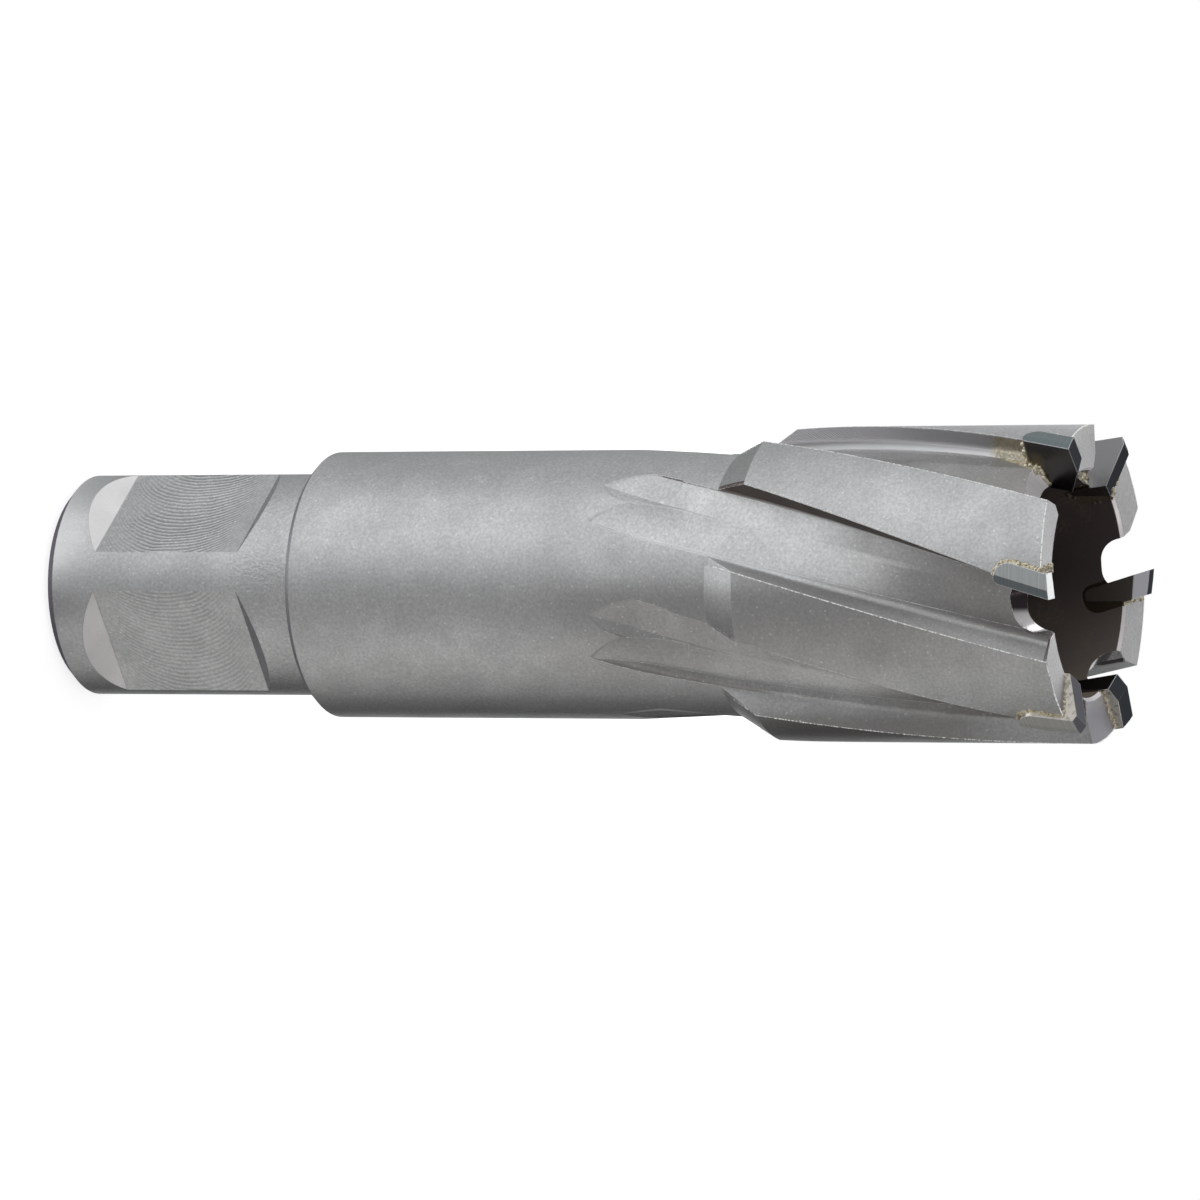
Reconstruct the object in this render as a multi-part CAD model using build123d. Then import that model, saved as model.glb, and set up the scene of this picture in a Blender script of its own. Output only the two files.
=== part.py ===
from build123d import *
import os
from math import asin, atan, cos, degrees, pi, radians, sin, sqrt, tan

# Carbide-tipped annular cutter, in millimetres. Z is the tool axis: it starts at the
# centre of the shank's end face and runs towards the cutting mouth.

# Shank, with two driving flats at right angles
shank_diameter = 19.05
shank_length = 23.55
shank_chamfer = 0.85
flat_depth = 1.7
flat_start = 4.75
flat_length = 13.5
flat_end_slope = 45.0

# Plain body between the shank and the cutting head
body_diameter = 22.8
collar_chamfer = 0.5
cone_start = 62.0

# Cutting head: a cup with six lands
head_diameter = 26.4
cone_length = 3.1
head_end = 92.1
mouth_dish = 0.3
mouth_bevel = 0.3

# Hollow inside: the slug room behind the mouth, and the bore for the pilot pin
cup_diameter = 18.8
cup_depth = 52.0
cup_floor_angle = 118.0
pilot_bore_diameter = 8.0
pilot_bore_chamfer = 0.6

# Teeth: the cutting corners lie at tooth_phase and every sixth of a turn from it
tooth_count = 6
tooth_phase = 177.5
land_angle = 32.75

# Flutes: two milling passes each, one along the rake wall and one along the next land
flute_a_lead = 235.0
flute_a_floor_radius = 10.9
flute_a_width = 3.0
flute_a_rake_slant = 17.0
flute_a_far_slant = 50.0
flute_a_corner_chamfer = 0.5
flute_b_lead = 291.0
flute_b_floor_radius = 10.6
flute_b_width = 3.7
flute_b_far_slant = 27.0
run_out_start = 50.5
mill_radius = 31.0

# Gullets: the notches through the wall in front of each tip
gullet_depth = 3.5
gullet_tilt = 35.0
gullet_lean = 14.0
gullet_turn = 5.0
gullet_far_side = 1.75
gullet_width = 4.3
gullet_corner_radius = 1.9
gullet_root_radius = 1.5

# Carbide tips and the braze round them
tip_diameter = 27.0
tip_inner_radius = 9.1
tip_thickness = 1.95
tip_length = 5.2
tip_overhang = 0.9
tip_lean = 16.5
tip_proud = 0.9
tip_seat_radius = 1.15
tip_heel_radius = 0.6
tip_end_relief = 6.0
tip_margin = 0.7
tip_margin_relief = 2.0
tip_side_relief = 10.0
braze_gap = 0.25

# Each tooth's ridge stands at its own radius and height, so that the teeth share the cut.
# Ridge radius, the slopes outside and inside the ridge, and the height over tip_overhang.
tooth_grinds = [
    (11.2, 8.0, 23.0, 0.0),
    (11.9, 1.0, 22.0, -0.1),
    (12.7, 25.0, 15.0, 0.3),
    (10.5, 2.0, 21.0, 0.0),
    (12.0, 4.0, 8.0, 0.0),
    (12.8, 20.0, 17.0, 0.0),
]

# Worked out from the sizes above
shank_radius = shank_diameter / 2
body_radius = body_diameter / 2
head_radius = head_diameter / 2
cup_radius = cup_diameter / 2
tip_radius = tip_diameter / 2
tip_end = head_end + tip_overhang
pitch = 360.0 / tooth_count
clear = 2.0
radial_plane = Plane(origin=(0, 0, 0), x_dir=(0, 1, 0), z_dir=(1, 0, 0))


def corner_vertex(face, corner):
    """The face's vertex nearest to a corner of its outline."""
    x, y = corner
    return face.vertices().sort_by(lambda v: (v.X - x) ** 2 + (v.Y - y) ** 2)[0]


def turned_blank():
    """The body as it leaves the lathe: shank, body, cone, head and the hollow inside."""
    cup_bottom = head_end - cup_depth
    pilot_radius = pilot_bore_diameter / 2
    cone_top = cone_start + cone_length
    floor_rise = (cup_radius - pilot_radius) / tan(radians(cup_floor_angle / 2))
    outline = [
        (pilot_radius + pilot_bore_chamfer, 0),
        (shank_radius - shank_chamfer, 0),
        (shank_radius, shank_chamfer),
        (shank_radius, shank_length),
        (body_radius - collar_chamfer, shank_length),
        (body_radius, shank_length + collar_chamfer),
        (body_radius, cone_start),
        (head_radius, cone_top),
        (head_radius, head_end),
        (cup_radius + mouth_bevel, head_end - mouth_dish),
        (cup_radius, head_end - mouth_dish - mouth_bevel),
        (cup_radius, cup_bottom),
        (pilot_radius, cup_bottom - floor_rise),
        (pilot_radius, pilot_bore_chamfer),
    ]
    section = Plane.XZ * make_face(Polyline(*outline, close=True))
    return revolve(section, Axis.Z)


def shank_flat(angle):
    """Waste over one driving flat, with sloping ends."""
    floor = shank_radius - flat_depth
    top = shank_radius + clear
    run = (top - floor) / tan(radians(flat_end_slope))
    outline = [
        (floor, flat_start),
        (floor, flat_start + flat_length),
        (top, flat_start + flat_length + run),
        (top, flat_start - run),
    ]
    side = Plane.XZ * make_face(Polyline(*outline, close=True))
    return Rot(0, 0, angle) * extrude(side, shank_radius, both=True)


def pass_section(floor_radius, width, near_slant, far_slant):
    """Section of one milling pass across the axis.

    Its floor ends at the direction X, square to it, and its walls slope outwards: the near
    one by the tooth, the far one by the next land.
    """
    top = head_radius + clear
    rise = top - floor_radius
    outline = [
        (floor_radius, -width),
        (floor_radius, 0),
        (top, rise * tan(radians(far_slant))),
        (top, -width - rise * tan(radians(near_slant))),
    ]
    return make_face(Polyline(*outline, close=True))


def flute_pass(section, floor_radius, lead, angle_at_end):
    """Waste of one milling pass: a helical channel that the round mill leaves in a scallop."""
    helix = atan(2 * pi * body_radius / lead)
    mill_travel = sqrt(2 * mill_radius * (body_radius - floor_radius)) * cos(helix)
    end_z = run_out_start + mill_travel
    length = tip_end + clear - end_z
    twist = 360.0 * length / lead
    channel = Solid.extrude_linear_with_rotation(section.face(), (0, 0, 0), (0, 0, length), twist)

    mill_axis = Axis((floor_radius + mill_radius, 0, 0), (0, -1, 0))
    overlap = degrees(clear / mill_radius)
    sweep = degrees(asin((2 * mill_travel + clear) / mill_radius)) + overlap
    scallop = revolve(section.rotate(mill_axis, -overlap), mill_axis, revolution_arc=sweep)
    scallop = Rot(-degrees(helix), 0, 0) * scallop

    angle = angle_at_end - 360.0 * (head_end - end_z) / lead
    place = Pos(0, 0, end_z) * Rot(0, 0, angle)
    return [place * channel, place * scallop]


def flute_waste():
    """Both passes of the first flute, which lies in front of the first tooth."""
    rake_edge = tooth_phase - degrees(tip_proud / head_radius)
    next_land = rake_edge + pitch - land_angle

    a_rise = head_radius - flute_a_floor_radius
    a_edge = flute_a_width + a_rise * tan(radians(flute_a_rake_slant))
    a_normal = rake_edge + degrees(asin(a_edge / head_radius))
    section = pass_section(flute_a_floor_radius, flute_a_width, flute_a_rake_slant, flute_a_far_slant)
    section = chamfer(corner_vertex(section, (flute_a_floor_radius, 0)), flute_a_corner_chamfer)
    waste = flute_pass(section, flute_a_floor_radius, flute_a_lead, a_normal)

    b_rise = head_radius - flute_b_floor_radius
    b_edge = b_rise * tan(radians(flute_b_far_slant))
    b_normal = next_land - degrees(asin(b_edge / head_radius))
    section = pass_section(flute_b_floor_radius, flute_b_width, 0, flute_b_far_slant)
    return waste + flute_pass(section, flute_b_floor_radius, flute_b_lead, b_normal)


def gullet_waste():
    """The notch in front of the first tip: leaning sides, round corners, a sloping floor."""
    floor = head_end - gullet_depth
    top = tip_end + clear
    lean = (top - floor) * tan(radians(gullet_lean))
    outline = [
        (gullet_far_side - gullet_width, floor),
        (gullet_far_side, floor),
        (gullet_far_side + lean, top),
        (gullet_far_side - gullet_width + lean, top),
    ]
    notch = make_face(Polyline(*outline, close=True))
    notch = fillet(corner_vertex(notch, outline[0]), gullet_root_radius)
    notch = fillet(corner_vertex(notch, outline[1]), gullet_corner_radius)

    tilt = radians(gullet_tilt)
    inward = cup_radius - clear
    outward = head_radius + clear
    length = (outward - inward) / cos(tilt)
    solid = extrude(radial_plane * notch, amount=length, dir=(cos(tilt), 0, -sin(tilt)))
    solid = Pos(inward, 0, (flute_a_floor_radius - inward) * tan(tilt)) * solid
    return Rot(0, 0, tooth_phase + gullet_turn) * solid


def tip_blank(gap):
    """The tip's outline seen from outside, as a block along the tooth's direction."""
    outline = [
        (gap, -tip_length - gap),
        (gap, clear),
        (-tip_thickness - gap, clear),
        (-tip_thickness - gap, -tip_length - gap),
    ]
    shape = make_face(Polyline(*outline, close=True))
    shape = fillet(corner_vertex(shape, outline[0]), tip_heel_radius + gap)
    shape = fillet(corner_vertex(shape, outline[3]), tip_seat_radius + gap)
    block = extrude(radial_plane * (Rot(0, 0, -tip_lean) * shape), amount=tip_radius + clear)
    return Pos(0, 0, tip_end) * block


def roof_grind(ridge_radius, outer_slope, inner_slope, height):
    """What the end grinding leaves: a ridge that falls to both sides and to the back."""
    peak = tip_end + height
    bottom = tip_end - tip_length - clear
    outer_drop = (tip_radius + clear - ridge_radius) * tan(radians(outer_slope))
    inner_drop = (ridge_radius - tip_inner_radius) * tan(radians(inner_slope))
    outline = [
        (tip_inner_radius, bottom),
        (tip_radius + clear, bottom),
        (tip_radius + clear, peak - outer_drop),
        (ridge_radius, peak),
        (tip_inner_radius, peak - inner_drop),
    ]
    side = Plane.XZ * make_face(Polyline(*outline, close=True))
    relief = radians(tip_end_relief)
    depth = 3 * tip_thickness
    back = extrude(side, amount=depth, dir=(0, -cos(relief), -sin(relief)))
    front = extrude(side, amount=depth, dir=(0, cos(relief), sin(relief)))
    return back + front


def side_grind():
    """What the side grinding leaves: a narrow margin at the rake face, then more relief."""
    depth = 3 * tip_thickness
    margin_edge = tip_radius - tip_margin * tan(radians(tip_margin_relief))
    heel_edge = margin_edge - depth * tan(radians(tip_side_relief))
    outline = [
        (0, clear),
        (tip_radius, clear),
        (tip_radius, 0),
        (margin_edge, -tip_margin),
        (heel_edge, -tip_margin - depth),
        (0, -tip_margin - depth),
    ]
    section = make_face(Polyline(*outline, close=True))
    lean = radians(tip_lean)
    return Pos(0, 0, tip_end) * extrude(section, amount=depth, dir=(0, sin(lean), cos(lean)), both=True)


def build():
    body = turned_blank()
    for angle in (180.0, 270.0):
        body -= shank_flat(angle)
    cutters = flute_waste() + [gullet_waste()]
    for tooth in range(tooth_count):
        for cutter in cutters:
            body -= Rot(0, 0, tooth * pitch) * cutter
    parts = {}
    for tooth, grind in enumerate(tooth_grinds):
        place = Rot(0, 0, tooth_phase + tooth * pitch)
        pocket = place * tip_blank(braze_gap)
        tip = place * (tip_blank(0) & side_grind() & roof_grind(*grind))
        seam = (body & pocket) - tip
        parts["carbide_tip_%d" % (tooth + 1)] = tip
        parts["braze_seam_%d" % (tooth + 1)] = seam
        body -= pocket
    parts["cutter_body"] = body
    return parts


os.makedirs("parts", exist_ok=True)
for name, shape in build().items():
    export_step(shape, "parts/%s.step" % name)
    print(name, len(shape.solids()), "solid", round(shape.volume, 2), "mm3")
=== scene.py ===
import bpy
from math import cos, radians, sin
from mathutils import Matrix, Vector


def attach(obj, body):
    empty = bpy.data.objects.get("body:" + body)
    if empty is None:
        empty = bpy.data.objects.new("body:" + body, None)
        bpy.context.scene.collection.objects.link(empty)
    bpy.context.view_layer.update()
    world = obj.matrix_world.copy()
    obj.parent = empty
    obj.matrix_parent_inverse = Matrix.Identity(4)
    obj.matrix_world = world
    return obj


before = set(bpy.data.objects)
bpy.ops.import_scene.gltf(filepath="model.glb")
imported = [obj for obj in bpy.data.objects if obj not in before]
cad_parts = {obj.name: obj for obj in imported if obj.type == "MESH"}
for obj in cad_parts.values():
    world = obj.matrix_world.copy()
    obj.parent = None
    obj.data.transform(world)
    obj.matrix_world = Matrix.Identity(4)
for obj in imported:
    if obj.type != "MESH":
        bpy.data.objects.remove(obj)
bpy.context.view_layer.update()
scene = bpy.context.scene
toolAxis = Vector((0, 0, 1))
pictureUp = Vector((-0.7849, 0.6197, 0))  # square to the tool axis, points up in the picture
cameraSide = Vector((-0.6197, -0.7849, 0))  # square to both, points towards the camera
fullWave = 6.2832  # one wave of a sine, in radians

print("frame loaded:", len(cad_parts), "nodes")


# Small helpers for node trees

def connect(tree, value, socket):
    if isinstance(value, bpy.types.NodeSocket):
        tree.links.new(value, socket)
    else:
        socket.default_value = value


def addNode(tree, kind, inputs=None, **settings):
    node = tree.nodes.new(kind)
    for name, value in settings.items():
        setattr(node, name, value)
    for name, value in (inputs or {}).items():
        connect(tree, value, node.inputs[name])
    return node


def maths(tree, operation, *values, clamp=False):
    inputs = dict(enumerate(values))
    return addNode(tree, "ShaderNodeMath", inputs, operation=operation, use_clamp=clamp).outputs[0]


def vectorMaths(tree, operation, *values):
    node = addNode(tree, "ShaderNodeVectorMath", dict(enumerate(values)), operation=operation)
    return node.outputs["Value" if operation in ("DOT_PRODUCT", "LENGTH") else "Vector"]


def inTurn(tree, operation, values):
    total = values[0]
    for value in values[1:]:
        total = maths(tree, operation, total, value)
    return total


def product(tree, *values):
    return inTurn(tree, "MULTIPLY", values)


def addUp(tree, *values):
    return inTurn(tree, "ADD", values)


def largest(tree, *values):
    return inTurn(tree, "MAXIMUM", values)


def opposite(tree, mask):
    return maths(tree, "SUBTRACT", 1.0, mask)


def above(tree, value, limit):
    return maths(tree, "GREATER_THAN", value, limit)


def below(tree, value, limit):
    return maths(tree, "LESS_THAN", value, limit)


def rangeOf(tree, value, low, high, start=0.0, end=1.0, soft=False):
    node = addNode(tree, "ShaderNodeMapRange", {0: value, 1: low, 2: high, 3: start, 4: end})
    node.interpolation_type = "SMOOTHSTEP" if soft else "LINEAR"
    return node.outputs[0]


def within(tree, value, low, high, soft=0.0):
    if soft:
        rise = rangeOf(tree, value, low - soft, low + soft, soft=True)
        fall = rangeOf(tree, value, high - soft, high + soft, 1.0, 0.0, soft=True)
    else:
        rise = above(tree, value, low)
        fall = below(tree, value, high)
    return product(tree, rise, fall)


def mixValue(tree, share, first, second):
    return addNode(tree, "ShaderNodeMix", {0: share, 2: first, 3: second}).outputs[0]


def mixVector(tree, share, first, second):
    return addNode(tree, "ShaderNodeMix", {0: share, 4: first, 5: second}, data_type="VECTOR").outputs[1]


def mixColour(tree, share, first, second):
    return addNode(tree, "ShaderNodeMix", {0: share, 6: first, 7: second}, data_type="RGBA").outputs[2]


def paint(tree, colour, layers):  # each layer is a share and a colour, from the bottom up
    for share, layer in layers:
        colour = mixColour(tree, share, colour, layer)
    return colour


def split(tree, vector):
    return addNode(tree, "ShaderNodeSeparateXYZ", {0: vector}).outputs


def objectPlace(tree):
    return addNode(tree, "ShaderNodeTexCoord").outputs["Object"]


def trueNormal(tree):
    return addNode(tree, "ShaderNodeNewGeometry").outputs["True Normal"]


def newGroup(name, inputs, outputs):
    group = bpy.data.node_groups.new(name, "ShaderNodeTree")
    for label, value in inputs.items():
        socket = group.interface.new_socket(label, in_out="INPUT", socket_type="NodeSocketFloat")
        socket.default_value = value
    for label, kind in outputs.items():
        group.interface.new_socket(label, in_out="OUTPUT", socket_type="NodeSocket" + kind)
    return group, group.nodes.new("NodeGroupInput").outputs, group.nodes.new("NodeGroupOutput").inputs


def useGroup(tree, group, **inputs):
    node = tree.nodes.new("ShaderNodeGroup")
    node.node_tree = group
    for label, value in inputs.items():
        connect(tree, value, node.inputs[label])
    return node.outputs


def newMaterial(name):
    material = bpy.data.materials.new(name)
    material.use_nodes = True
    tree = material.node_tree
    return material, tree, tree.nodes["Principled BSDF"]


def finishNode(tree, shader, colour, roughness, metallic, normal=None):
    connect(tree, colour, shader.inputs["Base Color"])
    connect(tree, roughness, shader.inputs["Roughness"])
    connect(tree, metallic, shader.inputs["Metallic"])
    if normal is not None:
        connect(tree, normal, shader.inputs["Normal"])


# Where a point lies on the cutter: millimetres from the axis, degrees round it, millimetres along it from
# the shank's end, and millimetres from the axis in the direction that is up in the picture

placeGroup, _, placeOut = newGroup(
    "cutter place", {}, {"Radius": "Float", "Angle": "Float", "Height": "Float", "Up": "Float"}
)
xyz = split(placeGroup, objectPlace(placeGroup))
squares = addUp(placeGroup, maths(placeGroup, "POWER", xyz[0], 2.0), maths(placeGroup, "POWER", xyz[1], 2.0))
upward = vectorMaths(placeGroup, "DOT_PRODUCT", objectPlace(placeGroup), pictureUp)
turn = maths(placeGroup, "ARCTAN2", xyz[1], xyz[0])
connect(placeGroup, product(placeGroup, maths(placeGroup, "SQRT", squares), 1000.0), placeOut["Radius"])
connect(placeGroup, maths(placeGroup, "DEGREES", turn), placeOut["Angle"])
connect(placeGroup, product(placeGroup, xyz[2], 1000.0), placeOut["Height"])
connect(placeGroup, product(placeGroup, upward, 1000.0), placeOut["Up"])


# Where a point lies in its flute: degrees past the foot of the rake wall and past the foot of the next
# land's wall, and the number of the tooth, from 0 to 5

flute = {
    "count": 6, "pitch": 60.0, "headEnd": 92.1,
    "rakeLead": 235.0, "rakeFoot": 174.5, "wallLead": 291.0, "wallFoot": 195.1,
}
fluteGroup, fluteIn, fluteOut = newGroup(
    "flute place", {"Angle": 0.0, "Height": 0.0}, {"Rake": "Float", "Wall": "Float", "Tooth": "Float"}
)
fromEnd = maths(fluteGroup, "SUBTRACT", flute["headEnd"], fluteIn["Height"])
for label in ("rake", "wall"):
    fromFoot = maths(fluteGroup, "SUBTRACT", fluteIn["Angle"], flute[label + "Foot"])
    turned = addUp(fluteGroup, fromFoot, product(fluteGroup, fromEnd, 360.0 / flute[label + "Lead"]))
    past = maths(fluteGroup, "WRAP", turned, flute["pitch"] / 2, -flute["pitch"] / 2)
    connect(fluteGroup, past, fluteOut[label.title()])
    if label == "rake":
        whole = maths(fluteGroup, "DIVIDE", maths(fluteGroup, "SUBTRACT", turned, past), flute["pitch"])
        tooth = maths(fluteGroup, "FLOORED_MODULO", maths(fluteGroup, "ROUND", whole), flute["count"])
        connect(fluteGroup, tooth, fluteOut["Tooth"])


# Fine grain that bead blasting leaves: a height for bump, a speckle of painted glints and a slow cloud for
# colour

grainGroup, grainIn, grainOut = newGroup(
    "blast grain", {"Size": 0.2, "Seed": 0.0}, {"Height": "Float", "Speckle": "Float", "Cloud": "Float"}
)
coords = objectPlace(grainGroup)
perMetre = maths(grainGroup, "DIVIDE", 1000.0, grainIn["Size"])
fine = addNode(
    grainGroup, "ShaderNodeTexNoise",
    {"Vector": coords, "W": grainIn["Seed"], "Scale": perMetre, "Detail": 3.0}, noise_dimensions="4D",
)
sparkle = addNode(
    grainGroup, "ShaderNodeTexVoronoi", {"Vector": coords, "Scale": product(grainGroup, perMetre, 0.8)}
)
cloud = addNode(grainGroup, "ShaderNodeTexNoise", {"Vector": coords, "Scale": 260.0, "Detail": 3.0})
cell = addNode(grainGroup, "ShaderNodeSeparateColor", {0: sparkle.outputs["Color"]}).outputs[0]
bright = rangeOf(grainGroup, cell, 0.8, 1.0)  # one cell in five sparkles, a painted glint
near = rangeOf(grainGroup, sparkle.outputs["Distance"], 0.1, 0.4, 1.0, 0.0)
connect(grainGroup, fine.outputs[0], grainOut["Height"])
connect(grainGroup, product(grainGroup, bright, near), grainOut["Speckle"])
connect(grainGroup, cloud.outputs[0], grainOut["Cloud"])


# The direction straight out from the axis, how much the surface faces that way, a mask of the sharp edges,
# and the normal with those edges rounded

outwardGroup, _, outwardOut = newGroup(
    "outward", {}, {"Outward": "Vector", "Facing": "Float", "Edge": "Float", "Rounded": "Vector"}
)
fromAxis = vectorMaths(outwardGroup, "MULTIPLY", objectPlace(outwardGroup), (1, 1, 0))
outward = vectorMaths(outwardGroup, "NORMALIZE", fromAxis)
normal = trueNormal(outwardGroup)
rounded = addNode(outwardGroup, "ShaderNodeBevel", {"Radius": 0.0001}, samples=6).outputs[0]
agree = vectorMaths(outwardGroup, "DOT_PRODUCT", rounded, normal)
connect(outwardGroup, outward, outwardOut["Outward"])
connect(outwardGroup, vectorMaths(outwardGroup, "DOT_PRODUCT", outward, normal), outwardOut["Facing"])
connect(outwardGroup, rangeOf(outwardGroup, agree, 0.985, 0.93), outwardOut["Edge"])
connect(outwardGroup, rounded, outwardOut["Rounded"])


# Body: blasted steel, with the milled flats, the flute walls and the ground places on top

steel = {
    "colour": (0.60, 0.605, 0.61, 1),
    "roughness": 0.44,
    "groundRoughness": 0.25,
    "grain": 0.24,
    "grainColour": (0.24, 0.245, 0.245, 1),
    "speckleColour": (0.95, 0.95, 0.93, 1),
    "floorGrain": 0.3,
    "floorColour": (0.66, 0.665, 0.67, 1),
    "floorFleck": (0.95, 0.95, 0.95, 1),
    "floorLean": 0.16,
    "smokeAndShade": (0.21, 0.195, 0.185, 1),
    "boreColour": (0.10, 0.08, 0.078, 1),
    "boreLower": (0.26, 0.22, 0.195, 1),
    "boreDust": (0.34, 0.26, 0.17, 1),
    "sootAndShade": (0.13, 0.105, 0.095, 1),
    "rakeTopShade": (0.36, 0.35, 0.36, 1),
    "footHighlight": (0.97, 0.97, 0.98, 1),
    "groundColour": (0.63, 0.623, 0.628, 1),
    "groundDark": (0.40, 0.38, 0.39, 1),
    "bevelUnderShade": (0.42, 0.412, 0.42, 1),
    "gulletColour": (0.94, 0.905, 0.92, 1),
    "gulletDark": (0.07, 0.055, 0.06, 1),
    "brazeStain": (0.78, 0.72, 0.55, 1),
    "stainTop": (0.26, 0.22, 0.15, 1),
    "wornEdgeGlint": (1, 1, 0.98, 1),
    "darkEdge": (0.20, 0.185, 0.22, 1),
    "shade": (0.31, 0.30, 0.33, 1),
    "slopeColour": (0.71, 0.695, 0.70, 1),
    "endColour": (0.74, 0.745, 0.75, 1),
    "arcRadius": 7.2,
    "arcMiddle": 11.5,
    "arcStep": 0.44,
    "arcWander": 0.8,
    "scratchStep": 0.3,
    "peelScale": 4200.0,
    # heights along the cutter, in millimetres
    "endChamfer": 0.84,
    "nearSlope": (2.9, 4.76),
    "farSlope": (18.24, 20.0),
    "flatsEnd": 20.0,
    "collar": (23.15, 24.08),
    "boreFoot": 30.0,
    "headFoot": 50.4,
    "gullet": (85.5, 92.2),
    "mouth": 91.45,
    "wallEnd": 91.75,
    # distances from the axis, in millimetres
    "slopeRadii": (5.5, 9.5),
    "flatFromAxis": 7.825,
    "boreRadius": 9.42,
    "floorRadii": (10.3, 11.34),
    "farWallFoot": 10.5,
    "rakeWallFoot": 10.8,
    "landRadius": 13.19,
    # degrees past the foot of a flute's walls
    "rakeWall": (-1.9, 0.1),
    "farWall": (-0.1, 6.2),
}

bodyMaterial, tree, shader = newMaterial("blasted steel")
place = useGroup(tree, placeGroup)
radius, height, up = place["Radius"], place["Height"], place["Up"]
inFlute = useGroup(tree, fluteGroup, Angle=place["Angle"], Height=height)
rake, wall = inFlute["Rake"], inFlute["Wall"]
grain = useGroup(tree, grainGroup, Size=steel["grain"])
coarse = useGroup(tree, grainGroup, Size=steel["floorGrain"], Seed=2.0)["Height"]
out = useGroup(tree, outwardGroup)
facing = out["Facing"]

# masks on the head: its first two teeth, the bore, both walls and the floor of a flute, and the ground places
firstTooth, secondTooth = [maths(tree, "COMPARE", inFlute["Tooth"], number, 0.5) for number in (0.0, 1.0)]
head = above(tree, height, steel["headFoot"])
inside = product(tree, below(tree, radius, steel["boreRadius"]), above(tree, height, steel["boreFoot"]))
belowMouth = within(tree, height, steel["headFoot"], steel["wallEnd"])
rakeWall = product(
    tree, belowMouth, below(tree, facing, 0.93), within(tree, rake, *steel["rakeWall"]),
    within(tree, radius, steel["rakeWallFoot"], steel["landRadius"]),
)
farWall = product(
    tree, belowMouth, within(tree, wall, *steel["farWall"]),
    within(tree, radius, steel["farWallFoot"], steel["landRadius"]),
)
fluteFloor = product(tree, belowMouth, within(tree, radius, *steel["floorRadii"]))
normalUp = split(tree, trueNormal(tree))[2]
atMouth = above(tree, height, steel["mouth"])
endFace = product(tree, atMouth, above(tree, normalUp, 0.85))
mouthBevel = product(tree, atMouth, within(tree, normalUp, 0.5, 0.85))
gullet = product(
    tree, within(tree, height, *steel["gullet"]),
    within(tree, radius, steel["boreRadius"], steel["landRadius"]), below(tree, facing, 0.9),
    opposite(tree, largest(tree, rakeWall, farWall)), opposite(tree, largest(tree, endFace, mouthBevel)),
)

# masks on the shank: the two flats, the slopes at their ends, and the collar's step
xyz = split(tree, vectorMaths(tree, "MULTIPLY", objectPlace(tree), (1000, 1000, 1000)))
flats = []
for axis in (0, 1):
    offFlat = maths(tree, "ABSOLUTE", addUp(tree, xyz[axis], steel["flatFromAxis"]))
    flats.append(product(tree, below(tree, height, steel["flatsEnd"]), below(tree, offFlat, 0.01)))
firstFlat, secondFlat = flats
notFlat = opposite(tree, largest(tree, firstFlat, secondFlat))
nearSlope, farSlope = [
    product(tree, within(tree, height, *steel[slope]), within(tree, radius, *steel["slopeRadii"]), notFlat)
    for slope in ("nearSlope", "farSlope")
]
collar = within(tree, height, *steel["collar"])
# painted shade at the collar's step and on the far slopes
darkStep = largest(tree, product(tree, collar, 0.75), product(tree, farSlope, 0.65))

# the mill's arcs on the flats and its scratches on the rake walls
across = mixValue(tree, firstFlat, product(tree, xyz[0], -1.0), xyz[1])
fromMiddle = maths(tree, "SUBTRACT", height, steel["arcMiddle"])
squareLeft = maths(tree, "SUBTRACT", steel["arcRadius"] ** 2, product(tree, fromMiddle, fromMiddle))
arc = addUp(tree, across, maths(tree, "SQRT", largest(tree, squareLeft, 0.0)))
arc = addUp(tree, arc, product(tree, grain["Cloud"], steel["arcWander"]))
arcWave = maths(tree, "SINE", product(tree, arc, fullWave / steel["arcStep"]))
arcShare = addUp(tree, firstFlat, product(tree, secondFlat, 0.45))
arcs = product(tree, arcWave, arcShare, within(tree, height, 6.5, 16.5, 2.5))
scratch = addUp(tree, height, product(tree, radius, 1.5))
scratchWave = maths(tree, "SINE", product(tree, scratch, fullWave / steel["scratchStep"]))
scratchShare = product(tree, rakeWall, rangeOf(tree, height, 82.0, 68.0), rangeOf(tree, radius, 11.6, 12.4))
marks = addUp(tree, arcs, product(tree, scratchWave, scratchShare))
patchy = rangeOf(tree, grain["Cloud"], 0.35, 0.6, 0.15, 0.75)
markShare = product(tree, rangeOf(tree, marks, -0.3, 1.0), patchy)

# smoke and shade: heat has darkened the floors towards the mouth; the darker underside and lower scallops are
# painted shade
floorSmoke = product(tree, fluteFloor, rangeOf(tree, height, 71.0, 87.0, 0.0, 0.7))
lowShade = product(
    tree, rangeOf(tree, height, 44.0, 54.0, 0.0, 0.42), rangeOf(tree, height, 78.0, 90.0, 1.0, 0.45),
    rangeOf(tree, up, 1.0, -1.5, soft=True), rangeOf(tree, up, -5.5, -9.0, 1.0, 0.1, soft=True),
)
underShade = product(
    tree, rangeOf(tree, up, -9.8, -11.6, soft=True), within(tree, height, 64.0, 84.0, 5.0), 0.6
)
smokeAndShade = largest(tree, floorSmoke, lowShade, underShade)
scallopShade = product(
    tree, within(tree, height, 52.0, 66.0, 1.5), rangeOf(tree, facing, 0.9, 0.8), below(tree, radius, 11.39),
    rangeOf(tree, radius, 10.95, 11.25), rangeOf(tree, up, -1.0, -3.0), 0.6,
)

# the shank's end, with painted light above and painted shade below
shankEnd = product(tree, rangeOf(tree, height, 4.5, 1.0), rangeOf(tree, up, -1.0, 2.0), 0.8)
lowEnd = product(tree, rangeOf(tree, height, 5.0, 1.0), within(tree, up, -6.2, -0.8, 1.2), 0.5)
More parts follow.
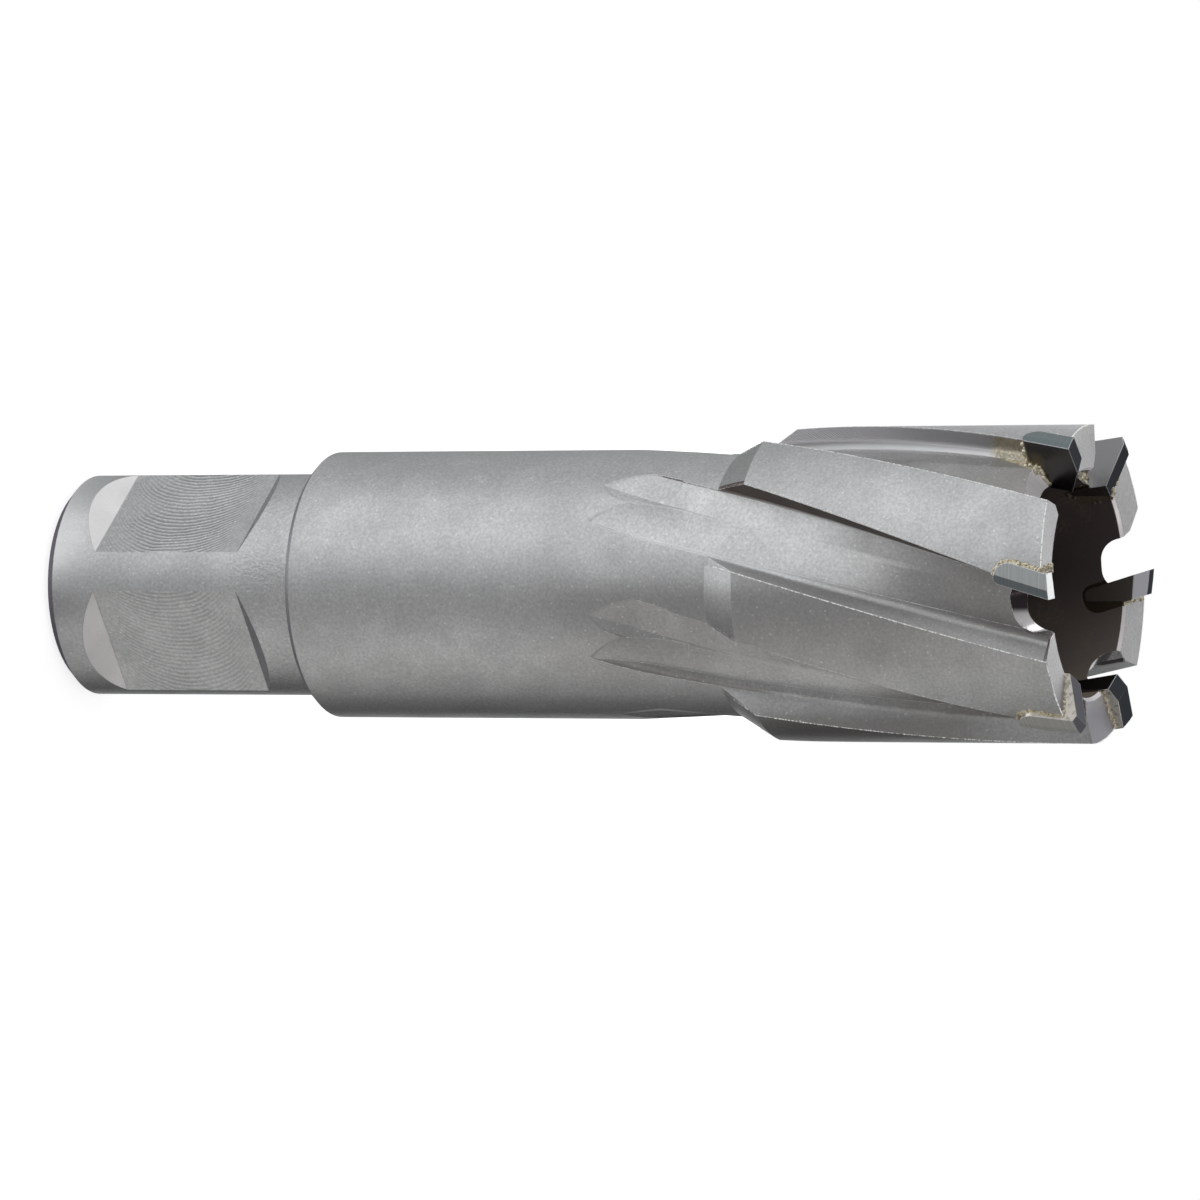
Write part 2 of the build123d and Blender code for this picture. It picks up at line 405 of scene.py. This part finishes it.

# the flutes: pale coarse floors, lighter on the upper side as painted light, rake walls that darken from the
# foot up as painted shade (with soot on the second tooth's), and a painted highlight along the first tooth's
# wall foot
floorPaleAndLit = largest(tree, rangeOf(tree, height, 60.0, 68.0), rangeOf(tree, up, -4.0, -1.0))
wallFoot = rangeOf(tree, height, 58.0, 72.0, 10.8, 11.3)
upWall = rangeOf(tree, radius, wallFoot, addUp(tree, wallFoot, 0.7), soft=True)
wallTopShade = mixColour(tree, secondTooth, steel["rakeTopShade"], steel["sootAndShade"])
footHighlight = product(tree, firstTooth, rakeWall, within(tree, radius, 10.9, 11.7, 0.3))

# the ground places: the lands' ends, their bevels and the gullets; the near-white of the first two gullets
# and of the bevels is painted highlight, the darker undersides and the second gullet's dark part are painted
# shade
mottle = rangeOf(tree, grain["Height"], 0.35, 0.65, 0.5, 1.0)
groundColour = mixColour(tree, mottle, steel["groundDark"], steel["groundColour"])
# painted shade on the underside
underneathShade = rangeOf(tree, up, -7.8, -10.8)
bevelColour = mixColour(tree, underneathShade, steel["gulletColour"], steel["bevelUnderShade"])
shaded = product(tree, secondTooth, rangeOf(tree, rake, 16.0, 12.5, soft=True))
gulletColour = paint(tree, steel["gulletColour"], [
    (shaded, steel["gulletDark"]),
    (above(tree, inFlute["Tooth"], 1.5), groundColour),
])

# the braze's stain in the first flute
stainEdge = addUp(tree, height, product(tree, grain["Cloud"], 2.4))
stainWidth = rangeOf(tree, height, 85.5, 89.5, 0.6, 5.5)
stain = product(
    tree, firstTooth, above(tree, rake, -1.9), below(tree, rake, stainWidth),
    within(tree, radius, 10.6, 13.1), rangeOf(tree, stainEdge, 85.6, 86.9, soft=True), 0.9,
)
stainColour = paint(tree, steel["brazeStain"], [
    (rangeOf(tree, grain["Height"], 0.62, 0.36, 0.0, 0.6), steel["sootAndShade"]),
    # darker towards the wall's top: painted shade, as on the other rake walls
    (rangeOf(tree, radius, 11.7, 12.6, 0.0, 0.75, soft=True), steel["stainTop"]),
])

# the bore: dark brown, painted lighter and browner on the lower side as painted light, and dustier there
lower = rangeOf(tree, up, 2.0, -9.0, soft=True)
dust = product(
    tree, rangeOf(tree, grain["Cloud"], 0.5, 0.7), rangeOf(tree, grain["Height"], 0.45, 0.6, 0.1, 0.8),
    rangeOf(tree, lower, 0.0, 1.0, 0.35, 1.0),
)
boreColour = paint(tree, steel["boreColour"], [(lower, steel["boreLower"]), (dust, steel["boreDust"])])

# where the edges' painted highlight shows, broken as if worn
wornGlint = rangeOf(tree, grain["Height"], 0.47, 0.56, 0.1, 1.0)
colour = paint(tree, steel["colour"], [
    # paler flute floors, with painted light on the upper side
    (product(tree, fluteFloor, floorPaleAndLit), steel["floorColour"]),
    (rangeOf(tree, grain["Height"], 0.36, 0.64, 0.0, 0.34), steel["grainColour"]),
    (product(tree, fluteFloor, rangeOf(tree, coarse, 0.45, 0.62, 0.0, 0.12)), steel["floorFleck"]),
    # heat smoke on the floors, with painted shade on the underside
    (smokeAndShade, steel["smokeAndShade"]),
    # painted shade on the lower scallops
    (scallopShade, steel["smokeAndShade"]),
    # painted light on the upper part of the shank's end
    (shankEnd, steel["endColour"]),
    # painted shade on the lower part of the shank's end
    (lowEnd, steel["shade"]),
    (markShare, steel["grainColour"]),
    # painted glints: the blast grain's white speckle
    (product(tree, grain["Speckle"], 0.45), steel["speckleColour"]),
    # painted shade: the rake walls darker from the foot up, partly soot on the second tooth's
    (product(tree, rakeWall, upWall), wallTopShade),
    # painted highlight along the foot of the first tooth's rake wall
    (footHighlight, steel["footHighlight"]),
    # painted light: the near slopes lighter
    (product(tree, nearSlope, 0.8), steel["slopeColour"]),
    # painted shade at the collar's step and on the far slopes
    (darkStep, steel["shade"]),
    # painted shade on the chamfer at the shank's end
    (below(tree, height, steel["endChamfer"]), steel["darkEdge"]),
    (endFace, groundColour),
    # painted shade on the end faces' underside
    (product(tree, endFace, underneathShade, 0.95), steel["shade"]),
    # the bevels: near-white painted highlight above, painted shade below
    (mouthBevel, bevelColour),
    # the gullets: near-white painted highlight on the first two, painted shade on part of the second
    (gullet, gulletColour),
    (stain, stainColour),
    # painted highlight on the head's edges, broken as if worn
    (product(tree, out["Edge"], head, opposite(tree, inside), wornGlint), steel["wornEdgeGlint"]),
    # the bore, with painted light on its lower side
    (inside, boreColour),
])

cloudy = rangeOf(tree, grain["Cloud"], 0.3, 0.7, steel["roughness"] - 0.03, steel["roughness"] + 0.03)
roughness = mixValue(tree, gullet, cloudy, steel["groundRoughness"])
# the bore and the first gullet are not metal, so the gullet's near-white shows as a painted highlight
notMetal = addUp(tree, product(tree, inside, 0.9), product(tree, gullet, firstTooth, 0.93))

# relief: blasting, the mill's marks, and an uneven skin on the shank beside the collar
peel = addNode(tree, "ShaderNodeTexNoise", {"Vector": objectPlace(tree), "Scale": steel["peelScale"]})
peelShare = product(tree, within(tree, height, 17.5, 23.2, 1.2), notFlat, 3.4)
relief = addUp(
    tree, product(tree, grain["Height"], 0.9), product(tree, marks, 1.3),
    product(tree, coarse, fluteFloor, 0.9), product(tree, peel.outputs[0], peelShare),
)

# the walls' feet are hollow: there the surface turns from the wall to the floor, and the floor leans a little
hollowTop = mixValue(tree, firstTooth, 12.1, 12.4)
footTurn = product(tree, rakeWall, rangeOf(tree, radius, hollowTop, 11.3, 0.0, 0.95, soft=True))
farTurn = product(tree, farWall, rangeOf(tree, radius, 11.9, 10.7, 0.18, 0.92, soft=True))
turnedNormal = mixVector(tree, largest(tree, footTurn, farTurn), out["Rounded"], out["Outward"])
backwards = vectorMaths(tree, "CROSS_PRODUCT", out["Outward"], toolAxis)
leaning = vectorMaths(tree, "MULTIPLY_ADD", backwards, (steel["floorLean"],) * 3, out["Outward"])
leanShare = product(tree, fluteFloor, within(tree, wall, -16.5, -0.5, 1.0), rangeOf(tree, height, 81.0, 75.0))
baseNormal = vectorMaths(tree, "NORMALIZE", mixVector(tree, leanShare, turnedNormal, leaning))
bump = addNode(
    tree, "ShaderNodeBump", {"Strength": 0.45, "Distance": 0.00003, "Height": relief, "Normal": baseNormal}
)
finishNode(tree, shader, colour, roughness, opposite(tree, notMetal), bump.outputs[0])


# Tips: ground carbide. Its colours, dark on the rake face and lighter outside and changing from tip to tip,
# are painted light and shade, and the edges carry a painted highlight

carbide = {
    "rake": (0.10, 0.095, 0.092, 1),
    "rakeSixth": (0.26, 0.26, 0.265, 1),
    "rakeFifth": (0.42, 0.40, 0.39, 1),
    "outside": (0.50, 0.52, 0.52, 1),
    "outsideFirst": (0.22, 0.27, 0.28, 1),
    "outsideThird": (0.60, 0.60, 0.57, 1),
    "margin": (0.20, 0.225, 0.235, 1),
    "end": (0.07, 0.076, 0.086, 1),
    "endLight": (0.38, 0.37, 0.40, 1),
    "endThird": (0.20, 0.195, 0.22, 1),
    "smear": (0.30, 0.24, 0.15, 1),
    "lip": (0.97, 0.97, 0.97, 1),
    "edge": (0.90, 0.92, 0.93, 1),
    "back": (0.88, 0.83, 0.76, 1),
    "lineColour": (0.06, 0.065, 0.07, 1),
    "linesPerMm": 7.0,
    "grain": 0.35,
    "roughness": 0.28,
    "behindRake": 12.0,  # degrees that turn a tip's place to the middle of its own tooth's number
}
tipMaterial, tree, shader = newMaterial("ground carbide")
place = useGroup(tree, placeGroup)
radius = place["Radius"]
grain = useGroup(tree, grainGroup, Size=carbide["grain"], Seed=9.0)
out = useGroup(tree, outwardGroup)
turned = addUp(tree, place["Angle"], carbide["behindRake"])
tooth = useGroup(tree, fluteGroup, Angle=turned, Height=flute["headEnd"])["Tooth"]
first, second, third, fifth, sixth = [
    maths(tree, "COMPARE", tooth, number, 0.5) for number in (0.0, 1.0, 2.0, 4.0, 5.0)
]

# masks: the outside and its margin, the end, the back, the braze smear on the first tip, and the painted
# light and shade that single tips have
normal = trueNormal(tree)
normalParts = split(tree, normal)
outside = rangeOf(tree, out["Facing"], 0.8, 0.9)
normalAngle = maths(tree, "DEGREES", maths(tree, "ARCTAN2", normalParts[1], normalParts[0]))
normalTurn = useGroup(tree, fluteGroup, Angle=normalAngle, Height=flute["headEnd"])["Rake"]
margin = above(tree, normalTurn, -3.0)
onEnd = rangeOf(tree, normalParts[2], 0.40, 0.46)
sideways = vectorMaths(tree, "CROSS_PRODUCT", toolAxis, out["Outward"])
forward = vectorMaths(tree, "DOT_PRODUCT", sideways, normal)
back = product(tree, rangeOf(tree, forward, -0.6, -0.7), rangeOf(tree, grain["Height"], 0.35, 0.5, 0.55, 1.0))
# painted light: the fifth tip's lighter end and the second tip's white lip
lightEnd = product(tree, fifth, below(tree, radius, 12.0))
lip = product(tree, second, above(tree, radius, 11.95))
smear = product(
    tree, first, within(tree, radius, 10.0, 12.4, 0.5), rangeOf(tree, grain["Cloud"], 0.48, 0.62, 0.0, 0.75)
)

# the grinding wheel's fine lines round the outside
lines = addNode(
    tree, "ShaderNodeTexNoise",
    {"W": product(tree, place["Height"], carbide["linesPerMm"]), "Scale": 1.0, "Detail": 2.0},
    noise_dimensions="1D",
).outputs[0]
lineShare = product(tree, outside, rangeOf(tree, lines, 0.3, 0.7, 0.0, 0.25))

# rake colours per tooth are painted light and shade; the smear on the first tip is braze
rakeColour = paint(tree, carbide["rake"], [
    (sixth, carbide["rakeSixth"]),
    (fifth, carbide["rakeFifth"]),
    (smear, carbide["smear"]),
])
# outside colours: the darker margin and the colours per tooth are painted shade and light
outsideColour = paint(tree, carbide["outside"], [
    (margin, carbide["margin"]),
    (first, carbide["outsideFirst"]),
    (third, carbide["outsideThird"]),
    (fifth, carbide["end"]),
])
# end colours: dark and light ends per tooth are painted shade and light, the white lip a painted highlight
endColour = paint(tree, carbide["end"], [
    (lightEnd, carbide["endLight"]),
    (third, carbide["endThird"]),
    (lip, carbide["lip"]),
])
colour = paint(tree, rakeColour, [
    (outside, outsideColour),
    (onEnd, endColour),
    (back, carbide["back"]),
    (lineShare, carbide["lineColour"]),
    # painted highlight on the edges
    (product(tree, out["Edge"], 0.7), carbide["edge"]),
])
bump = addNode(
    tree, "ShaderNodeBump", {"Strength": 0.12, "Distance": 0.00002, "Height": lines, "Normal": out["Rounded"]}
)
darkEnd = product(tree, onEnd, opposite(tree, largest(tree, lightEnd, lip)))
darkFacets = largest(tree, darkEnd, product(tree, third, outside, 0.7), product(tree, fifth, outside))
finishNode(tree, shader, colour, carbide["roughness"], opposite(tree, darkFacets), bump.outputs[0])
shader.inputs["Specular IOR Level"].default_value = 0.0  # the facets painted dark as shade stay dark at a low angle too


# Seams: silver braze, yellowish, rough and pitted, dark in the bore, and not metal on the bore's upper side

braze = {
    "colour": (0.86, 0.81, 0.66, 1),
    "dark": (0.50, 0.44, 0.31, 1),
    "boreColour": (0.10, 0.075, 0.05, 1),
    "grain": 0.3,
    "roughness": 0.46,
}
brazeMaterial, tree, shader = newMaterial("silver braze")
place = useGroup(tree, placeGroup)
grain = useGroup(tree, grainGroup, Size=braze["grain"], Seed=4.0)
inBore = below(tree, place["Radius"], 9.5)
colour = paint(tree, braze["colour"], [
    (rangeOf(tree, grain["Height"], 0.60, 0.36), braze["dark"]),
    (inBore, braze["boreColour"]),
])
# not metal on the upper side of the bore, so the seam shows lighter there: painted light
upperBoreSeam = product(tree, inBore, above(tree, place["Up"], 3.0))
bump = addNode(tree, "ShaderNodeBump", {"Strength": 0.6, "Distance": 0.00005, "Height": grain["Height"]})
finishNode(tree, shader, colour, braze["roughness"], opposite(tree, upperBoreSeam), bump.outputs[0])

materials = {"cutter": bodyMaterial, "carbide": tipMaterial, "braze": brazeMaterial}
for name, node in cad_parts.items():
    node.data.materials.clear()
    node.data.materials.append(materials[name.split("_")[0]])
print("materials made")


# Small helpers for geometry trees

def newGeometryTree(name, inputs):
    tree = bpy.data.node_groups.new(name, "GeometryNodeTree")
    tree.interface.new_socket("Geometry", in_out="INPUT", socket_type="NodeSocketGeometry")
    for label, value in inputs.items():
        kind = "NodeSocketInt" if isinstance(value, int) else "NodeSocketFloat"
        tree.interface.new_socket(label, in_out="INPUT", socket_type=kind).default_value = value
    tree.interface.new_socket("Finish", in_out="INPUT", socket_type="NodeSocketMaterial")
    tree.interface.new_socket("Geometry", in_out="OUTPUT", socket_type="NodeSocketGeometry")
    return tree, tree.nodes.new("NodeGroupInput").outputs, tree.nodes.new("NodeGroupOutput")


def closeTree(tree, geometry, finish, output):
    plain = addNode(tree, "GeometryNodeRealizeInstances", {"Geometry": geometry})
    named = addNode(tree, "GeometryNodeSetMaterial", {"Geometry": plain.outputs[0], "Material": finish})
    tree.links.new(named.outputs[0], output.inputs[0])


def runTree(name, mesh, tree, values):
    piece = bpy.data.objects.new(name, mesh)
    scene.collection.objects.link(piece)
    modifier = piece.modifiers.new("build", "NODES")
    modifier.node_group = tree
    for item in tree.interface.items_tree:
        if item.in_out == "INPUT" and item.name in values:
            modifier[item.identifier] = values[item.name]
    plain = bpy.data.meshes.new_from_object(piece.evaluated_get(bpy.context.evaluated_depsgraph_get()))
    piece.modifiers.clear()
    piece.data = plain
    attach(piece, "root")
    print(name, len(plain.polygons), "faces")


def random(tree, low, high, seed):
    node = addNode(tree, "FunctionNodeRandomValue", {2: low, 3: high, "Seed": seed}, data_type="FLOAT")
    return node.outputs[1]


# Burrs: a broken line of grains along both edges of every land and, with a very short lead, along its end,
# white and faintly glowing as a painted glint. Angles are in degrees, the rest in millimetres

burr = {
    "trailing": {
        "Angle": 200.84, "Lead": 291.0, "Low": 62.5, "High": 92.0, "Per edge": 420, "Size": 0.055, "Seed": 3,
    },
    "leading": {
        "Angle": 173.6, "Lead": 235.0, "Low": 62.5, "High": 87.0, "Per edge": 300, "Size": 0.026, "Seed": 8,
    },
    "mouth": {
        "Angle": 166.0, "Lead": 0.74, "Low": 92.05, "High": 92.1, "Per edge": 130, "Size": 0.06, "Seed": 6,
    },
}
burrFinish = {
    "colour": (0.97, 0.97, 0.95, 1), "roughness": 0.4, "glint": (1, 1, 0.98, 1), "glintStrength": 0.25,
}
cone = {"foot": 62.0, "top": 65.1, "footRadius": 11.4, "topRadius": 13.2, "widest": 13.199}
burrTree, given, output = newGeometryTree(
    "edge burrs", {"Angle": 0.0, "Lead": 1.0, "Low": 0.0, "High": 1.0, "Per edge": 10, "Size": 0.1, "Seed": 0}
)
size = given["Size"]
allGrains = product(burrTree, given["Per edge"], flute["count"])
line = addNode(burrTree, "GeometryNodeMeshLine", {"Count": allGrains})
number = addNode(burrTree, "GeometryNodeInputIndex").outputs[0]
edgePlace = maths(burrTree, "DIVIDE", number, given["Per edge"])
edgeNumber = maths(burrTree, "FLOOR", edgePlace)
share = maths(burrTree, "FRACT", edgePlace)
along = maths(burrTree, "ADD", share, random(burrTree, -0.02, 0.02, given["Seed"]), clamp=True)
span = maths(burrTree, "SUBTRACT", given["High"], given["Low"])
height = addUp(burrTree, given["Low"], product(burrTree, along, span))
fromEnd = maths(burrTree, "SUBTRACT", flute["headEnd"], height)
twist = maths(burrTree, "DIVIDE", product(burrTree, fromEnd, 360.0), given["Lead"])
angle = maths(burrTree, "SUBTRACT", given["Angle"], twist)
angle = maths(burrTree, "RADIANS", addUp(burrTree, angle, product(burrTree, edgeNumber, flute["pitch"])))
surface = rangeOf(burrTree, height, cone["foot"], cone["top"], cone["footRadius"], cone["topRadius"])
radius = maths(burrTree, "SUBTRACT", surface, product(burrTree, size, 0.4))  # the grains sit in the surface
widest = maths(burrTree, "SUBTRACT", cone["widest"], product(burrTree, size, 1.16))
sideways = product(burrTree, radius, maths(burrTree, "SINE", angle))
sideways = maths(burrTree, "MINIMUM", largest(burrTree, sideways, product(burrTree, widest, -1.0)), widest)
forward = product(burrTree, radius, maths(burrTree, "COSINE", angle))
spot = addNode(burrTree, "ShaderNodeCombineXYZ", {0: forward, 1: sideways, 2: height}).outputs[0]
spot = addNode(burrTree, "ShaderNodeVectorMath", {0: spot, 3: 0.001}, operation="SCALE").outputs[0]
placed = addNode(burrTree, "GeometryNodeSetPosition", {"Geometry": line.outputs[0], "Position": spot})
grainMesh = addNode(burrTree, "GeometryNodeMeshIcoSphere", {"Radius": product(burrTree, size, 0.001)})
grains = addNode(burrTree, "GeometryNodeInstanceOnPoints", {
    "Points": placed.outputs[0], "Instance": grainMesh.outputs[0],
    "Scale": random(burrTree, 0.4, 1.15, given["Seed"]),
})
closeTree(burrTree, grains.outputs[0], given["Finish"], output)

burrMaterial, tree, shader = newMaterial("bright burr")
finishNode(tree, shader, burrFinish["colour"], burrFinish["roughness"], 0.0)
# the white colour and the glow are a painted glint
shader.inputs["Emission Color"].default_value = burrFinish["glint"]
shader.inputs["Emission Strength"].default_value = burrFinish["glintStrength"]
for side, values in burr.items():
    blank = bpy.data.meshes.new("burr_" + side)
    runTree("burr_" + side, blank, burrTree, dict(values, Finish=burrMaterial))


# Braze beads: the braze wells up in small uneven drops along each seam, but not in the bore

beads = {"Per square mm": 12.0, "Size": 0.11, "Seed": 5}
beadSizes = {1: 0.21, 2: 0.16, 3: 0.15, 4: 0.19, 5: 0.12, 6: 0.21}
beadsFrom = 0.0096  # metres from the axis
beadTree, given, output = newGeometryTree("braze beads", {"Per square mm": 1.0, "Size": 0.1, "Seed": 0})
position = addNode(beadTree, "GeometryNodeInputPosition").outputs[0]
fromAxis = vectorMaths(beadTree, "LENGTH", vectorMaths(beadTree, "MULTIPLY", position, (1, 1, 0)))
scattered = addNode(beadTree, "GeometryNodeDistributePointsOnFaces", {
    "Mesh": given["Geometry"], "Density": product(beadTree, given["Per square mm"], 1000000.0),
    "Seed": given["Seed"], "Selection": above(beadTree, fromAxis, beadsFrom),
})
dropSize = product(beadTree, given["Size"], 0.001)
drop = addNode(beadTree, "GeometryNodeMeshIcoSphere", {"Radius": dropSize, "Subdivisions": 2})
drops = addNode(beadTree, "GeometryNodeInstanceOnPoints", {
    "Points": scattered.outputs[0], "Instance": drop.outputs[0],
    "Scale": random(beadTree, 0.4, 1.3, given["Seed"]),
})
closeTree(beadTree, drops.outputs[0], given["Finish"], output)
for number, size in beadSizes.items():
    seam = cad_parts["braze_seam_%d" % number].data.copy()
    values = dict(beads, Size=size, Seed=beads["Seed"] + number, Finish=brazeMaterial)
    runTree("braze_beads_%d" % number, seam, beadTree, values)


# Stage: a pale floor that fades into the white background, and the world

stage = {"floorRadius": 0.16, "floorGrey": 0.8, "floorGlow": 0.75, "rimGlow": 0.4}
studio = {"grey": 0.30, "slope": 0.255, "brightRise": 53}
white = (1, 1, 1, 1)

bpy.ops.mesh.primitive_circle_add(vertices=96, radius=stage["floorRadius"], fill_type="NGON")
floor = bpy.context.object
floor.name = "floor"
floorMaterial = bpy.data.materials.new("pale floor")
floorMaterial.use_nodes = True
tree = floorMaterial.node_tree
tree.nodes.clear()
glow = rangeOf(
    tree, vectorMaths(tree, "LENGTH", objectPlace(tree)), stage["floorRadius"] * 0.4, stage["floorRadius"],
    stage["floorGlow"], stage["floorGlow"] + stage["rimGlow"], soft=True,
)
light = addNode(tree, "ShaderNodeLightPath").outputs
pale = addNode(tree, "ShaderNodeBsdfDiffuse", {"Color": (stage["floorGrey"],) * 3 + (1,)})
glowing = product(tree, glow, light["Is Camera Ray"])
shining = addNode(tree, "ShaderNodeEmission", {"Color": white, "Strength": glowing})
both = addNode(tree, "ShaderNodeAddShader", {0: pale.outputs[0], 1: shining.outputs[0]})
# the steel shows the studio, not the floor
unseen = largest(tree, light["Is Glossy Ray"], light["Is Shadow Ray"])
clearFloor = addNode(tree, "ShaderNodeBsdfTransparent")
both = addNode(tree, "ShaderNodeMixShader", {0: unseen, 1: both.outputs[0], 2: clearFloor.outputs[0]})
addNode(tree, "ShaderNodeOutputMaterial", {"Surface": both.outputs[0]})
floor.data.materials.append(floorMaterial)

world = bpy.data.worlds.new("studio")
scene.world = world
world.use_nodes = True
tree = world.node_tree
tree.nodes.clear()
seen = addNode(tree, "ShaderNodeLightPath").outputs["Is Camera Ray"]
brightSide = pictureUp * sin(radians(studio["brightRise"])) + cameraSide * cos(radians(studio["brightRise"]))
skyWay = addNode(tree, "ShaderNodeTexCoord").outputs["Generated"]
turned = vectorMaths(tree, "DOT_PRODUCT", skyWay, brightSide)
grey = rangeOf(tree, turned, -1.0, 1.0, studio["grey"] - studio["slope"], studio["grey"] + studio["slope"])
soft = addNode(tree, "ShaderNodeBackground", {"Color": white, "Strength": grey})
plainWhite = addNode(tree, "ShaderNodeBackground", {"Color": white, "Strength": 1.0})
both = addNode(tree, "ShaderNodeMixShader", {0: seen, 1: soft.outputs[0], 2: plainWhite.outputs[0]})
addNode(tree, "ShaderNodeOutputWorld", {"Surface": both.outputs[0]})
print("stage made")


# Lamps: degrees above the camera's side in the picture, degrees along the tool axis, and then distance,
# width, height and power

lamps = {
    "keyLow": (30, -20, 0.7, 0.4, 0.6, 0.47),
    "keyMiddle": (60, -20, 0.7, 0.4, 0.6, 0.36),
    "keyHigh": (75, -20, 0.7, 0.4, 0.6, 0.25),
    "fillHigh": (-45, -22, 0.7, 0.4, 0.6, 0.16),
    "fillMiddle": (-60, -22, 0.7, 0.4, 0.6, 0.30),
    "fillLow": (-90, -22, 0.7, 0.4, 0.6, 0.32),
    "rimLow": (100, -10, 0.8, 0.4, 0.6, 0.16),
    "rimHigh": (130, -10, 0.8, 0.4, 0.6, 0.165),
    "behind": (188, 2, 0.8, 0.5, 1.1, 1.5),
    "gulletCorner": (155, 4, 0.8, 0.45, 0.6, 0.8),
    "mouthHigh": (118, 26, 0.8, 0.55, 0.5, 1.0),
    "mouthLow": (-94, 46, 0.8, 0.35, 0.35, 0.5),
    "shankSide": (60, -78, 0.8, 0.4, 0.4, 0.8),
}
lampAim = Vector((0, 0, 0.05))
warmLight, coolLight = (1.0, 0.98, 0.955), (0.975, 0.99, 1.0)  # from below and from above
for name, (rise, along, distance, width, height, power) in lamps.items():
    across = cameraSide * cos(radians(rise)) + pictureUp * sin(radians(rise))
    way = across * cos(radians(along)) + toolAxis * sin(radians(along))
    data = bpy.data.lights.new(name, "AREA")
    data.shape = "RECTANGLE"
    data.size = width
    data.size_y = height
    data.energy = power
    data.color = warmLight if rise < 0 else coolLight
    lamp = bpy.data.objects.new(name, data)
    lamp.location = lampAim + way * distance
    lamp.rotation_euler = way.to_track_quat("Z", "Y").to_euler()
    scene.collection.objects.link(lamp)
print("lamps made")


# Camera: where the photograph was taken from, with the tool axis running across the picture. Its place and
# the way it looks are given along the tool axis, up in the picture and towards the camera's side

camera = {"lens": 231.73, "place": (0.30001, -0.001151, 0.604816), "look": (-0.38469, -0.00026, -0.92304)}
data = bpy.data.cameras.new("camera")
data.sensor_width = 36.0
data.lens = camera["lens"]
data.clip_start = 0.01
pictureSides = (toolAxis, pictureUp, cameraSide)
eye, look = [
    sum((side * part for side, part in zip(pictureSides, parts)), Vector((0, 0, 0)))
    for parts in (camera["place"], camera["look"])
]
look.normalize()
right = look.cross(pictureUp).normalized()
upright = right.cross(look)
cameraObject = bpy.data.objects.new("camera", data)
cameraObject.matrix_world = Matrix((right, upright, -look)).transposed().to_4x4()
cameraObject.location = eye
scene.collection.objects.link(cameraObject)
scene.camera = cameraObject
scene.view_settings.view_transform = "Standard"
print("camera set")
